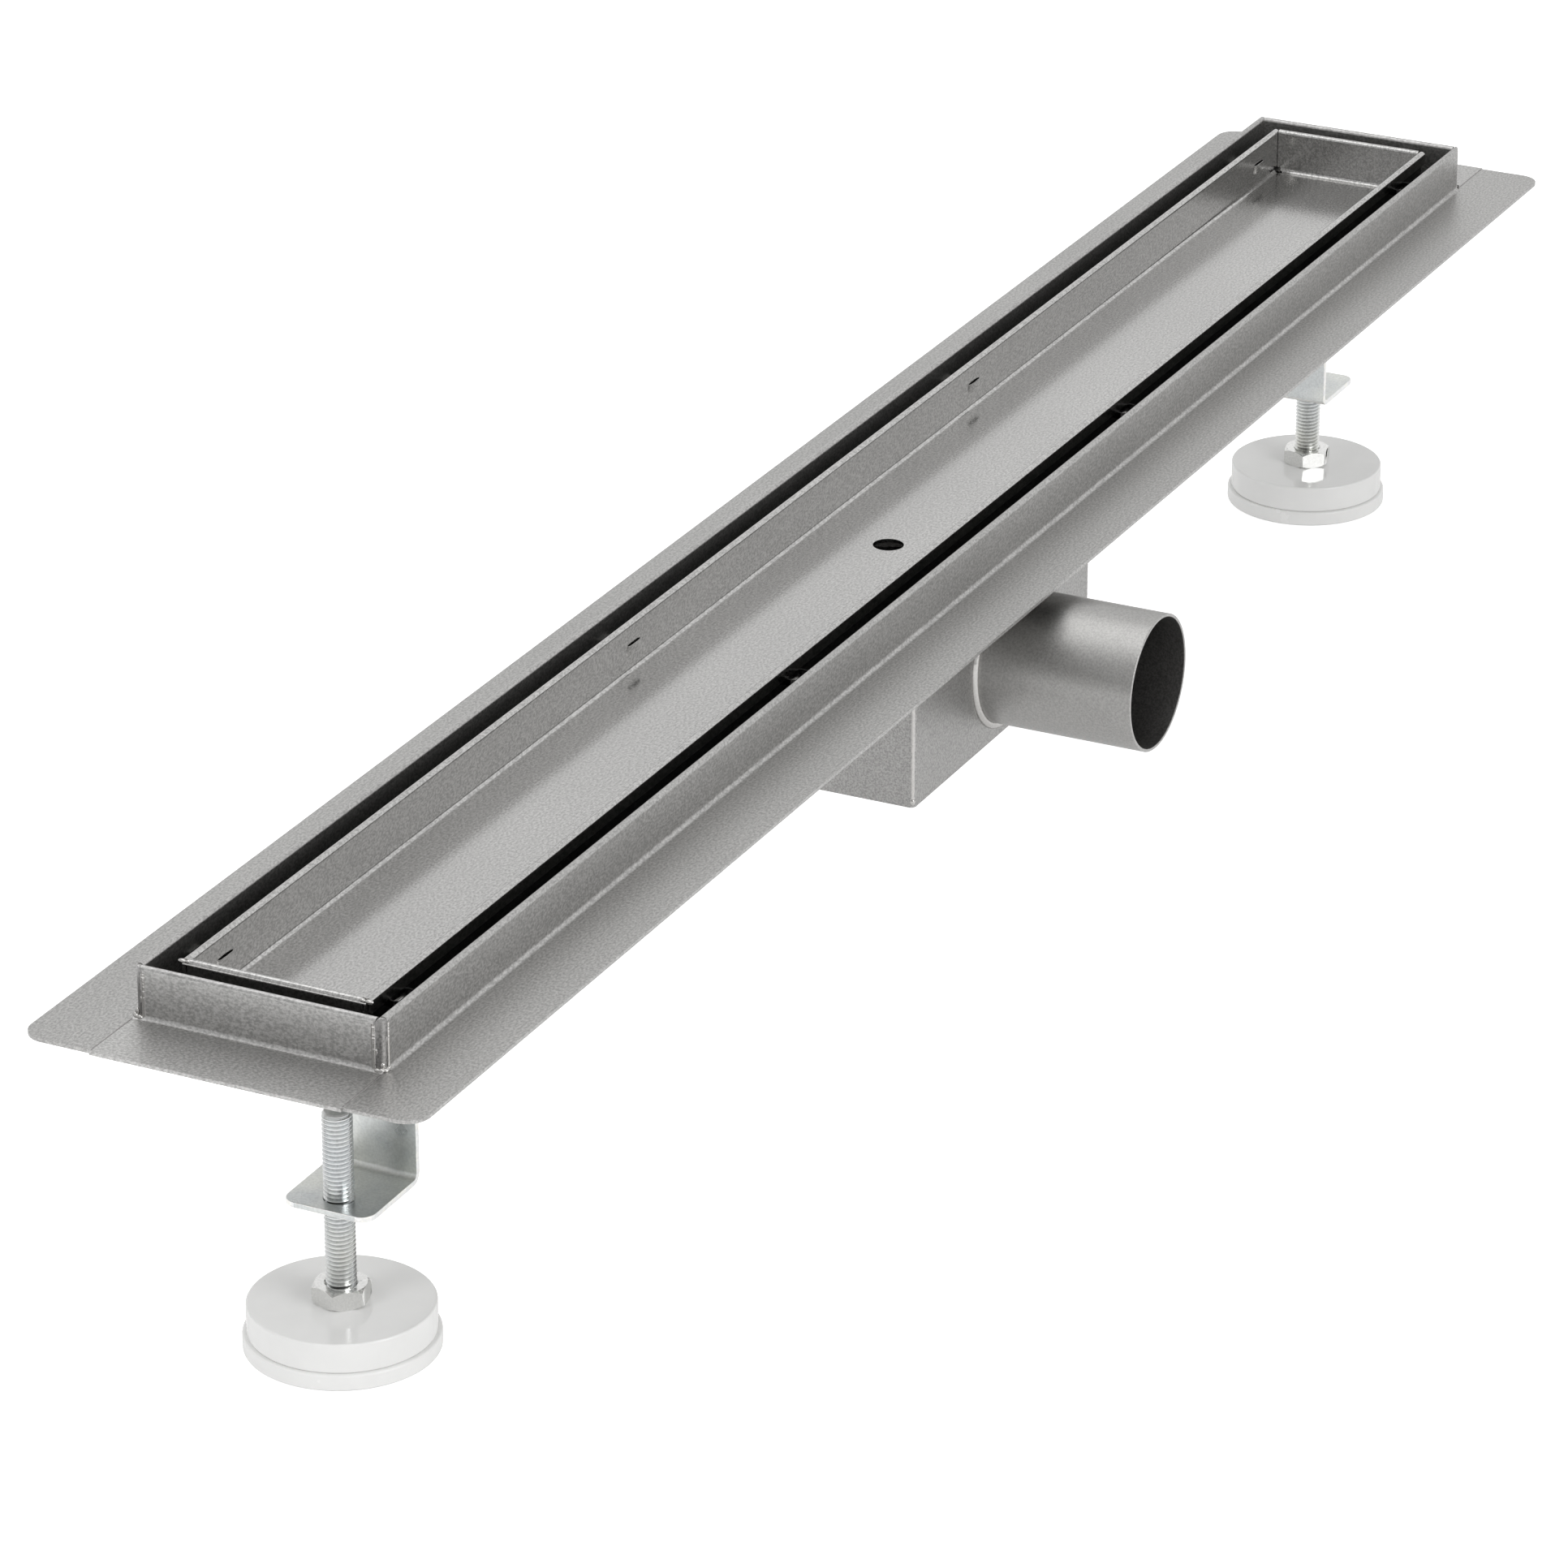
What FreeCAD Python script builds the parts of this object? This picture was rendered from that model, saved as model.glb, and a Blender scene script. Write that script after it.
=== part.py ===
import FreeCAD, Part
import math
import os
from FreeCAD import Vector

# Linear shower drain: a folded stainless channel with a flange for the waterproofing,
# a waste box with a horizontal outlet, a removable trap, a tray for a tile and two screw feet.
# Frame: X along the channel, Y across it with the outlet towards -Y, Z up.
# The origin is the centre of the tray's lifting hole, level with the flange and the tray floor.

# Sheet
sheet = 1.2
bend_inside = 1.6

# Channel
upstand_length = 904.0
upstand_width = 88.0
upstand_height = 17.7
hem_width = 2.6
flange_width = 26.0
flange_corner_radius = 8.0
flange_lap = 1.0
trough_floor_height = -14.0
upstand_corner_radius = 2.2

# Tile tray
tray_gap = 8.0
tray_rim_drop = 0.3
tray_rim_width = 2.8
tray_lip_height = 5.0
lift_hole_radius = 5.6
corner_relief_radius = 1.2
tray_seam_gap = 0.15

# Spacer tabs pressed out of the tray walls
tab_length = 10.5
tab_height = 2.6
tab_centre_height = 8.0
tab_wall_clearance = 0.3
tab_flat_share = 0.45
tab_inner_station = 140.0
tab_end_inset = 23.0

# Feet under the tray
tray_foot_length = 24.0
tray_foot_width = 46.0
tray_foot_inner_station = 150.0
tray_foot_end_inset = 56.0
tray_foot_arch_share = 0.45

# Waste box and outlet
box_length = 151.0
box_width = 92.0
box_bottom_height = -64.0
box_corner_radius = 2.0
outlet_outer_radius = 25.0
outlet_wall = 1.2
outlet_height = -33.7
outlet_projection = 60.0
outlet_hole_clearance = 0.1
outlet_edge_chamfer = 0.4
outlet_weld_size = 2.4
outlet_weld_crown = 1.8

# Trap
trap_opening_radius = 30.0
seal_lip_width = 6.0
seal_thickness = 2.0
seal_plug_clearance = 0.1
seal_chamfer = 0.6
dip_tube_radius = 24.0
trap_wall = 2.0
dip_tube_clearance = 0.2
dip_tube_bottom_height = -52.0
dip_tube_flange_inset = 1.5
dip_tube_chamfer = 0.9
cup_radius = 37.0
cup_bottom_height = -59.5
cup_rim_height = -30.0
cup_collar_height = 7.0
cup_collar_clearance = 0.1
cup_rib_count = 3
cup_rib_width = 2.4
cup_corner = 3.0
cup_corner_inside = 2.0
strainer_rim_width = 3.0
strainer_depth = 5.0
strainer_sheet = 0.8
strainer_corner = 1.5
strainer_hole_radius = 1.9
strainer_hole_rings = ((6, 6.5), (12, 12.0), (16, 17.2))
strainer_clearance = 0.3

# Brackets
foot_end_inset = 47.0
bracket_sheet = 2.0
bracket_width = 32.0
bracket_plate_height = -74.3
bracket_screw_inset = 9.7
bracket_back_inset = 22.0
bracket_top_leg = 28.0
bracket_bend_inside = 2.0
bracket_corner_radius = 5.0

# Fixing of a bracket to the trough
stud_radius = 3.0
stud_nut_flats = 10.0
stud_nut_height = 5.0
stud_end_beyond_nut = 2.0
stud_tip_chamfer = 0.5
stud_hole_clearance = 0.4

# Screw foot
screw_radius = 5.0
screw_top_height = -43.5
screw_clearance = 0.05
screw_chamfer = 0.9
screw_depth_in_pad = 8.0
hex_flats = 17.0
hex_height = 6.4
hex_turn = 12.0
hex_bore_clearance = 0.05
hex_chamfer_share = 0.6
pad_top_height = -110.8
pad_radius = 30.6
pad_height = 10.4
pad_edge_radius = 1.0
pad_edge_step = 0.3
pad_wall = 2.6
pad_socket_wall = 4.0
pad_screw_clearance = 0.1
pad_rib_count = 6
pad_rib_width = 1.8
sole_radius = 32.0
sole_height = 5.6
sole_edge_radius = 1.6
sole_edge_step = 0.5
sole_top_chamfer = 0.8
sole_floor = 2.2
sole_lip_clearance = 0.3
sole_lip_wall = 1.5
sole_lip_height = 3.0

# Room that a cut takes beyond the surface it passes
cut_margin = 1.0

# Sizes that follow from those above
hem_inside = (hem_width - 2 * sheet) / 2
trough_length = upstand_length - 2 * hem_width
trough_width = upstand_width - 2 * hem_width
tray_length = trough_length - 2 * tray_gap
tray_width = trough_width - 2 * tray_gap
tray_rim_height = upstand_height - tray_rim_drop
tray_hem_inside = (tray_rim_width - 2 * sheet) / 2
tray_lip_bottom = tray_rim_height - tray_lip_height
tray_wall_half_length = tray_length / 2 - tray_rim_width + sheet
tray_wall_half_width = tray_width / 2 - tray_rim_width + sheet
tab_outer_station = tray_length / 2 - tab_end_inset
tray_foot_outer_station = tray_length / 2 - tray_foot_end_inset
foot_station = upstand_length / 2 - foot_end_inset
stud_station = foot_station - bracket_back_inset - bracket_sheet - bracket_top_leg / 2
flange_length = upstand_length + 2 * flange_width
trough_underside = trough_floor_height - sheet
pad_bottom_height = pad_top_height - pad_height
ground_height = pad_bottom_height - sole_height
box_top_height = -sheet
screw_bottom_height = pad_top_height - screw_depth_in_pad


def line(a, b):
    return Part.LineSegment(a, b).toShape()


def arc_through(a, middle, b):
    return Part.Arc(a, middle, b).toShape()


def folded_strip(points, thickness, inside_radius):
    """Closed outline of a sheet folded along points (u, w), which run through its middle."""
    middle_radius = inside_radius + thickness / 2
    sides = ([], [])
    corners = [Vector(u, 0, w) for u, w in points]
    up = Vector(0, 1, 0)
    start = corners[0]
    for k in range(1, len(corners)):
        run = (corners[k] - corners[k - 1]).normalize()
        across = run.cross(up)
        if k == len(corners) - 1:
            for side, sign in zip(sides, (1, -1)):
                shift = across * (sign * thickness / 2)
                side.append(line(start + shift, corners[k] + shift))
            break
        following = (corners[k + 1] - corners[k]).normalize()
        turn = run.getAngle(following)
        setback = middle_radius * math.tan(turn / 2)
        bend_start = corners[k] - run * setback
        bend_end = corners[k] + following * setback
        inward = (following - run).normalize()
        centre = corners[k] + inward * (middle_radius / math.cos(turn / 2))
        for side, sign in zip(sides, (1, -1)):
            shift = across * (sign * thickness / 2)
            if (bend_start - start).Length > 1e-6:
                side.append(line(start + shift, bend_start + shift))
            bend_side = sign if across.dot(inward) > 0 else -sign
            radius = middle_radius - bend_side * thickness / 2
            shift_end = following.cross(up) * (sign * thickness / 2)
            side.append(arc_through(bend_start + shift, centre - inward * radius, bend_end + shift_end))
        start = bend_end
    first, last = sides[0], sides[1]
    cap_start = line(first[0].firstVertex().Point, last[0].firstVertex().Point)
    cap_end = line(first[-1].lastVertex().Point, last[-1].lastVertex().Point)
    return Part.Wire(Part.__sortEdges__(first + last + [cap_start, cap_end]))


def extruded_across(outline, length):
    """Solid of an outline in the XZ plane, extruded along Y and centred on it."""
    face = Part.Face(outline)
    solid = face.extrude(Vector(0, length, 0))
    solid.translate(Vector(0, -length / 2, 0))
    return solid


def box_between(low, high):
    size = [h - l for l, h in zip(low, high)]
    return Part.makeBox(size[0], size[1], size[2], Vector(*low))


def upright_cylinder(radius, low, high, x=0.0, y=0.0):
    return Part.makeCylinder(radius, high - low, Vector(x, y, low), Vector(0, 0, 1))


def turned(profile):
    """Solid of revolution about Z from (radius, height) corners."""
    points = [Vector(r, 0, z) for r, z in profile]
    wire = Part.makePolygon(points + [points[0]])
    return Part.Face(wire).revolve(Vector(0, 0, 0), Vector(0, 0, 1), 360)


def turned_about_z(shape, degrees):
    """Copy of a shape, turned about the Z axis."""
    copy = shape.copy()
    copy.rotate(Vector(0, 0, 0), Vector(0, 0, 1), degrees)
    return copy


def hexagon(flats, low, high, x, turn=0.0):
    radius = flats / math.sqrt(3)
    corners = []
    for k in range(7):
        angle = math.radians(60 * k + turn)
        corners.append(Vector(x + radius * math.cos(angle), radius * math.sin(angle), low))
    prism = Part.Face(Part.makePolygon(corners)).extrude(Vector(0, 0, high - low))
    chamfer = (radius - flats / 2) * hex_chamfer_share
    barrel = turned([
        (0, low), (flats / 2, low), (radius, low + chamfer),
        (radius, high - chamfer), (flats / 2, high), (0, high),
    ])
    barrel.translate(Vector(x, 0, 0))
    return prism.common(barrel)


def vertical_edges(shape, x_reach, y_reach):
    """Upright edges of a shape at the four corners of a rectangle."""
    found = []
    for edge in shape.Edges:
        if len(edge.Vertexes) != 2:
            continue
        a, b = (v.Point for v in edge.Vertexes)
        upright = abs(a.x - b.x) < 1e-6 and abs(a.y - b.y) < 1e-6
        if upright and abs(abs(a.x) - x_reach) < 1e-3 and abs(abs(a.y) - y_reach) < 1e-3:
            found.append(edge)
    return found


def single(shape):
    """The one solid of a shape, with its split faces joined."""
    cleaned = shape.removeSplitter()
    return cleaned.Solids[0] if len(cleaned.Solids) == 1 else cleaned


def upstand_fold(trough_edge):
    """Middle line of half a folded section: flange, outer wall, hem, inner wall down to the trough."""
    outer = trough_edge + hem_width - sheet / 2
    inner = trough_edge + sheet / 2
    top = upstand_height - sheet / 2
    return [
        (outer + flange_width + sheet / 2, -sheet / 2),
        (outer, -sheet / 2),
        (outer, top),
        (inner, top),
    ]


def half_section(trough_edge, floor_end):
    """Outline of the folded sheet from the flange's edge to floor_end on the trough floor."""
    fold = upstand_fold(trough_edge)
    floor_middle = trough_floor_height - sheet / 2
    outer, top = fold[2]
    inner = fold[3][0]
    below_hem = upstand_height - 2 * hem_width
    foot = folded_strip([fold[0], fold[1], (outer, below_hem)], sheet, bend_inside)
    hem = folded_strip([(outer, below_hem), fold[2], fold[3], (inner, below_hem)], sheet, hem_inside)
    wall = folded_strip(
        [(inner, below_hem), (inner, floor_middle), (floor_end, floor_middle)], sheet, bend_inside)
    return [foot, hem, wall]


def channel_half(section_length):
    """One folded half of the channel as a solid, in the XZ plane, extruded along Y."""
    outlines = half_section(trough_width / 2, 0.0)
    parts = [extruded_across(outline, section_length) for outline in outlines]
    return parts[0].fuse(parts[1:])


def channel_body():
    half = turned_about_z(channel_half(trough_length), 90)
    body = half.fuse(half.mirror(Vector(0, 0, 0), Vector(0, 1, 0)))
    half_width = upstand_width / 2
    for end in (-1, 1):
        for side in (-1, 1):
            x_low, x_high = sorted((end * trough_length / 2, end * flange_length / 2))
            y_low, y_high = sorted((side * half_width, side * (half_width + flange_width)))
            wing = box_between((x_low, y_low, -sheet), (x_high, y_high, 0))
            corner = [
                edge for edge in wing.Edges
                if abs(abs(edge.CenterOfMass.x) - flange_length / 2) < 1e-3
                and abs(abs(edge.CenterOfMass.y) - half_width - flange_width) < 1e-3
            ]
            body = body.fuse(wing.makeFillet(flange_corner_radius, corner))
    opening = upright_cylinder(
        trap_opening_radius, trough_underside - cut_margin, trough_floor_height + cut_margin)
    return single(body.cut(opening))


def welded_corner(side):
    """Corner of the upstand, closed and rounded by its weld, at the far end on the side with sign side."""
    half_length, half_width = upstand_length / 2, upstand_width / 2
    crown = upstand_height - hem_width / 2
    wall_across = box_between(
        (half_length - hem_width, -half_width, -sheet), (half_length, half_width, crown))
    crown_across = Part.makeCylinder(
        hem_width / 2, upstand_width,
        Vector(half_length - hem_width / 2, -half_width, crown), Vector(0, 1, 0))
    wall_along = box_between(
        (0, half_width - hem_width, -sheet), (half_length, half_width, crown))
    crown_along = Part.makeCylinder(
        hem_width / 2, half_length,
        Vector(0, half_width - hem_width / 2, crown), Vector(1, 0, 0))
    corner = wall_across.fuse(crown_across).common(wall_along.fuse(crown_along))
    rounded = box_between(
        (-half_length, -half_width, -sheet), (half_length, half_width, upstand_height))
    corner_edges = vertical_edges(rounded, half_length, half_width)
    rounded = rounded.makeFillet(upstand_corner_radius, corner_edges)
    corner = corner.common(rounded)
    return corner if side > 0 else corner.mirror(Vector(0, 0, 0), Vector(0, 1, 0))


def end_plate(end):
    """Folded end sheet of the channel at the end with sign end."""
    keep_x = trough_length / 2
    half_width = upstand_width / 2
    outlines = half_section(keep_x, 0.0)
    parts = [extruded_across(outline, upstand_width) for outline in outlines]
    plate = parts[0].fuse(parts[1:])
    plate = plate.common(box_between(
        (keep_x, -half_width, -upstand_length), (flange_length, half_width, upstand_length)))
    below = box_between(
        (keep_x - cut_margin, -upstand_width, trough_underside - cut_margin),
        (keep_x + hem_width, upstand_width, 0))
    trough_end = trough_width / 2 + sheet
    inside = box_between(
        (keep_x - 2 * cut_margin, -trough_end, trough_underside - 2 * cut_margin),
        (keep_x + hem_width + cut_margin, trough_end, cut_margin))
    plate = plate.cut(below.cut(inside))
    lap = box_between(
        (flange_length / 2 - cut_margin, -half_width, -sheet),
        (flange_length / 2 + flange_lap, half_width, 0))
    plate = single(plate.fuse(lap))
    for side in (-1, 1):
        y_low, y_high = sorted((side * (half_width - hem_width), side * (half_width + cut_margin)))
        plate = plate.cut(box_between(
            (keep_x - cut_margin, y_low, -2 * sheet),
            (upstand_length / 2, y_high, upstand_height + cut_margin)))
        plate = plate.fuse(welded_corner(side))
    if end < 0:
        plate = plate.mirror(Vector(0, 0, 0), Vector(1, 0, 0))
    return single(plate)


def waste_box():
    half_length, half_width = box_length / 2, box_width / 2
    outer = box_between(
        (-half_length, -half_width, box_bottom_height), (half_length, half_width, box_top_height))
    outer = outer.makeFillet(box_corner_radius, vertical_edges(outer, half_length, half_width))
    inner = box_between(
        (-half_length + sheet, -half_width + sheet, box_bottom_height + sheet),
        (half_length - sheet, half_width - sheet, box_top_height + cut_margin))
    inner_edges = vertical_edges(inner, half_length - sheet, half_width - sheet)
    inner = inner.makeFillet(box_corner_radius - sheet, inner_edges)
    around_trough = box_between(
        (-box_length, -trough_width / 2 - sheet, trough_underside),
        (box_length, trough_width / 2 + sheet, box_top_height + cut_margin))
    pipe_hole = Part.makeCylinder(
        outlet_outer_radius + outlet_hole_clearance, box_width / 2,
        Vector(0, -half_width - cut_margin, outlet_height), Vector(0, 1, 0))
    return single(outer.cut(inner).cut(around_trough).cut(pipe_hole))


def outlet_pipe():
    root = -box_width / 2 + sheet
    face = -box_width / 2
    mouth = face - outlet_projection
    bore = outlet_outer_radius - outlet_wall
    edge = outlet_edge_chamfer
    profile = [
        (bore, root), (outlet_outer_radius, root), (outlet_outer_radius, face),
        (outlet_outer_radius + outlet_weld_size, face),
        (outlet_outer_radius + outlet_weld_crown, face - outlet_weld_crown),
        (outlet_outer_radius, face - outlet_weld_size),
        (outlet_outer_radius, mouth + edge), (outlet_outer_radius - edge, mouth), (bore, mouth),
    ]
    pipe = turned(profile)
    pipe.rotate(Vector(0, 0, 0), Vector(1, 0, 0), -90)
    pipe.translate(Vector(0, 0, outlet_height))
    return pipe


def bridge_tab(wall_face, reach):
    """Bridge pressed out of a wall whose inner face is at y = wall_face, as a solid beyond it."""
    half = tab_length / 2
    flat = half * tab_flat_share
    flat_outside = flat + sheet * tab_flat_share
    outline = [
        (-half, wall_face), (-flat, wall_face + reach - sheet), (flat, wall_face + reach - sheet),
        (half, wall_face), (half, wall_face + sheet), (flat_outside, wall_face + reach),
        (-flat_outside, wall_face + reach), (-half, wall_face + sheet),
    ]
    points = [Vector(u, v, tab_centre_height - tab_height / 2) for u, v in outline]
    return Part.Face(Part.makePolygon(points + [points[0]])).extrude(Vector(0, 0, tab_height))


def tray_rim(wall_face, length):
    """Hem along the top of a tray wall whose outer face is at wall_face, folded outwards and down."""
    wall_middle = wall_face - sheet / 2
    lip_middle = wall_middle + tray_rim_width - sheet
    top = tray_rim_height - sheet / 2
    outline = folded_strip(
        [(wall_middle, tray_lip_bottom), (wall_middle, top), (lip_middle, top),
         (lip_middle, tray_lip_bottom)], sheet, tray_hem_inside)
    return extruded_across(outline, length)


def tray_end_wall():
    """End wall of the tray with the strip of floor that it is folded from, at the far end."""
    half_length, half_width = tray_wall_half_length, tray_wall_half_width
    end_zone = bend_inside + sheet
    fold_start = half_length - end_zone
    end_middle = half_length - sheet / 2
    width = 2 * (half_width - sheet - tray_seam_gap)
    fold = folded_strip(
        [(fold_start - cut_margin, -sheet / 2), (end_middle, -sheet / 2), (end_middle, tray_lip_bottom)],
        sheet, bend_inside)
    wall = extruded_across(fold, width).fuse(tray_rim(half_length, width))
    for side in (-1, 1):
        y_low, y_high = sorted((side * (half_width - end_zone), side * half_width))
        wall = wall.cut(box_between(
            (fold_start, y_low, -2 * sheet),
            (half_length + cut_margin, y_high, bend_inside + tray_seam_gap)))
        wall = wall.cut(box_between((0, y_low, -2 * sheet), (fold_start, y_high, 2 * sheet)))
    return wall


def tile_tray():
    half_length, half_width = tray_wall_half_length, tray_wall_half_width
    wall_middle = half_width - sheet / 2
    cross = folded_strip(
        [(-wall_middle, tray_lip_bottom), (-wall_middle, -sheet / 2), (wall_middle, -sheet / 2),
         (wall_middle, tray_lip_bottom)], sheet, bend_inside)
    section = extruded_across(cross, 2 * half_length)
    rim = tray_rim(half_width, 2 * half_length)
    tray = turned_about_z(section.fuse([rim, turned_about_z(rim, 180)]), 90)
    end_zone = bend_inside + sheet
    floor_reach = half_width - end_zone
    for end in (-1, 1):
        x_low, x_high = sorted((end * (half_length - end_zone), end * (half_length + cut_margin)))
        tray = tray.cut(box_between(
            (x_low, -floor_reach, -2 * sheet), (x_high, floor_reach, 2 * sheet)))
    end_wall = tray_end_wall()
    tray = tray.fuse([end_wall, end_wall.mirror(Vector(0, 0, 0), Vector(1, 0, 0))])
    for end in (-1, 1):
        for side in (-1, 1):
            relief = upright_cylinder(
                corner_relief_radius, -2 * sheet, bend_inside,
                end * (half_length - end_zone), side * floor_reach)
            tray = tray.cut(relief)
    tray = tray.cut(upright_cylinder(lift_hole_radius, -2 * sheet, 2 * sheet))
    reach = tray_gap + tray_rim_width - tab_wall_clearance
    window = box_between(
        (-tab_length / 2, half_width - sheet - cut_margin, tab_centre_height - tab_height / 2),
        (tab_length / 2, half_width + cut_margin, tab_centre_height + tab_height / 2))
    tab = bridge_tab(half_width - sheet, reach)
    for station in (-tab_outer_station, -tab_inner_station, tab_inner_station, tab_outer_station):
        for side_turn in (0, 180):
            place = Vector(station, 0, 0)
            cut, add = turned_about_z(window, side_turn), turned_about_z(tab, side_turn)
            cut.translate(place)
            add.translate(place)
            tray = tray.cut(cut).fuse(add)
    return single(tray)


def tray_foot(station):
    """Foot under the tray: a strip folded to an upturned U, arched so that water passes below."""
    top = -sheet
    height = top - trough_floor_height
    half = tray_foot_length / 2 - sheet / 2
    outline = folded_strip(
        [(-half, trough_floor_height), (-half, top - sheet / 2), (half, top - sheet / 2),
         (half, trough_floor_height)], sheet, bend_inside)
    foot = extruded_across(outline, tray_foot_width)
    arch = Part.makeCylinder(
        height * tray_foot_arch_share, 2 * tray_foot_length,
        Vector(-tray_foot_length, 0, trough_floor_height), Vector(1, 0, 0))
    foot = foot.cut(arch)
    foot.translate(Vector(station, 0, 0))
    return single(foot)


def trap_seal():
    lip_top = trough_floor_height + seal_thickness
    lip_radius = trap_opening_radius + seal_lip_width
    plug_radius = trap_opening_radius - seal_plug_clearance
    bottom = trough_underside - seal_thickness
    inner = dip_tube_radius + dip_tube_clearance
    return turned([
        (inner, bottom), (plug_radius - seal_chamfer, bottom),
        (plug_radius, trough_underside), (plug_radius, trough_floor_height),
        (lip_radius, trough_floor_height), (lip_radius, lip_top - seal_chamfer),
        (lip_radius - seal_chamfer, lip_top), (inner, lip_top),
    ])


def trap_dip_tube():
    seat = trough_floor_height + seal_thickness
    top = seat + trap_wall
    flange_radius = trap_opening_radius + seal_lip_width - dip_tube_flange_inset
    bore = dip_tube_radius - trap_wall
    return turned([
        (bore, dip_tube_bottom_height), (dip_tube_radius, dip_tube_bottom_height),
        (dip_tube_radius, seat), (flange_radius, seat), (flange_radius, top - dip_tube_chamfer),
        (flange_radius - dip_tube_chamfer, top), (bore + dip_tube_chamfer, top),
        (bore, top - dip_tube_chamfer),
    ])


def trap_cup():
    inside = cup_radius - trap_wall
    inside_floor = cup_bottom_height + trap_wall
    cup = turned([
        (0, cup_bottom_height), (cup_radius - cup_corner, cup_bottom_height),
        (cup_radius, cup_bottom_height + cup_corner), (cup_radius, cup_rim_height),
        (inside, cup_rim_height), (inside, inside_floor + cup_corner_inside),
        (inside - cup_corner_inside, inside_floor), (0, inside_floor),
    ])
    collar_bore = dip_tube_radius + cup_collar_clearance
    collar_bottom = cup_rim_height - cup_collar_height
    collar = turned([
        (collar_bore, collar_bottom), (collar_bore + trap_wall, collar_bottom),
        (collar_bore + trap_wall, cup_rim_height), (collar_bore, cup_rim_height),
    ])
    rib = box_between(
        (collar_bore + trap_wall / 2, -cup_rib_width / 2, collar_bottom),
        (inside + trap_wall / 2, cup_rib_width / 2, cup_rim_height))
    cup = cup.fuse(collar)
    for k in range(cup_rib_count):
        cup = cup.fuse(turned_about_z(rib, 360 / cup_rib_count * k + 90))
    return single(cup)


def hair_strainer():
    """Pressed dish with rings of holes, hung by its rim in the mouth of the dip tube."""
    seat = trough_floor_height + seal_thickness + trap_wall
    rim_top = seat + strainer_sheet
    dish = dip_tube_radius - trap_wall - strainer_clearance
    inside = dish - strainer_sheet
    floor = seat - strainer_depth
    strainer = turned([
        (0, floor), (dish - strainer_corner, floor), (dish, floor + strainer_corner), (dish, seat),
        (dish + strainer_rim_width, seat), (dish + strainer_rim_width, rim_top), (inside, rim_top),
        (inside, floor + strainer_corner),
        (inside - strainer_corner + strainer_sheet / 2, floor + strainer_sheet),
        (0, floor + strainer_sheet),
    ])
    holes = []
    for count, ring in strainer_hole_rings:
        for k in range(count):
            angle = 2 * math.pi * k / count
            holes.append(upright_cylinder(
                strainer_hole_radius, floor - cut_margin, floor + 2 * cut_margin,
                ring * math.cos(angle), ring * math.sin(angle)))
    return single(strainer.cut(holes))


def bracket(end):
    """Z bracket: top leg under the trough, upright plate, lower leg with the tapped hole."""
    back = foot_station - bracket_back_inset - bracket_sheet / 2
    outer_end = foot_station + bracket_screw_inset
    top = trough_underside - bracket_sheet / 2
    plate_middle = bracket_plate_height - bracket_sheet / 2
    outline = folded_strip(
        [(back - bracket_top_leg, top), (back, top), (back, plate_middle), (outer_end, plate_middle)],
        bracket_sheet, bracket_bend_inside)
    plate = extruded_across(outline, bracket_width)
    half = bracket_width / 2
    corners = vertical_edges(plate, outer_end, half)
    corners += vertical_edges(plate, back - bracket_top_leg, half)
    plate = plate.makeFillet(bracket_corner_radius, corners)
    screw_hole = upright_cylinder(
        screw_radius + screw_clearance, bracket_plate_height - 2 * bracket_sheet,
        bracket_plate_height + cut_margin, foot_station)
    stud_hole = upright_cylinder(
        stud_radius + stud_hole_clearance, trough_underside - 2 * bracket_sheet,
        trough_underside + cut_margin, stud_station)
    return placed_at_end(plate.cut([screw_hole, stud_hole]), end)


def placed_at_end(shape, end):
    """The far end's piece as it is, or turned half way round for the near end."""
    return turned_about_z(shape, 180) if end < 0 else shape


def weld_stud(end):
    low = trough_underside - bracket_sheet - stud_nut_height - stud_end_beyond_nut
    stud = turned([
        (0, low), (stud_radius - stud_tip_chamfer, low), (stud_radius, low + stud_tip_chamfer),
        (stud_radius, trough_underside), (0, trough_underside),
    ])
    stud.translate(Vector(stud_station, 0, 0))
    return placed_at_end(stud, end)


def stud_nut(end):
    high = trough_underside - bracket_sheet
    low = high - stud_nut_height
    nut = hexagon(stud_nut_flats, low, high, stud_station)
    bore = upright_cylinder(
        stud_radius + hex_bore_clearance, low - cut_margin, high + cut_margin, stud_station)
    return placed_at_end(nut.cut(bore), end)


def screw(end):
    rod = turned([
        (0, screw_bottom_height), (screw_radius, screw_bottom_height),
        (screw_radius, screw_top_height - screw_chamfer),
        (screw_radius - screw_chamfer, screw_top_height), (0, screw_top_height),
    ])
    rod.translate(Vector(foot_station, 0, 0))
    return placed_at_end(rod, end)


def hex_nut(end):
    top = pad_top_height + hex_height
    nut = hexagon(hex_flats, pad_top_height, top, foot_station, hex_turn)
    bore = upright_cylinder(
        screw_radius + hex_bore_clearance, pad_top_height - cut_margin, top + cut_margin, foot_station)
    return placed_at_end(nut.cut(bore), end)


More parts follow.
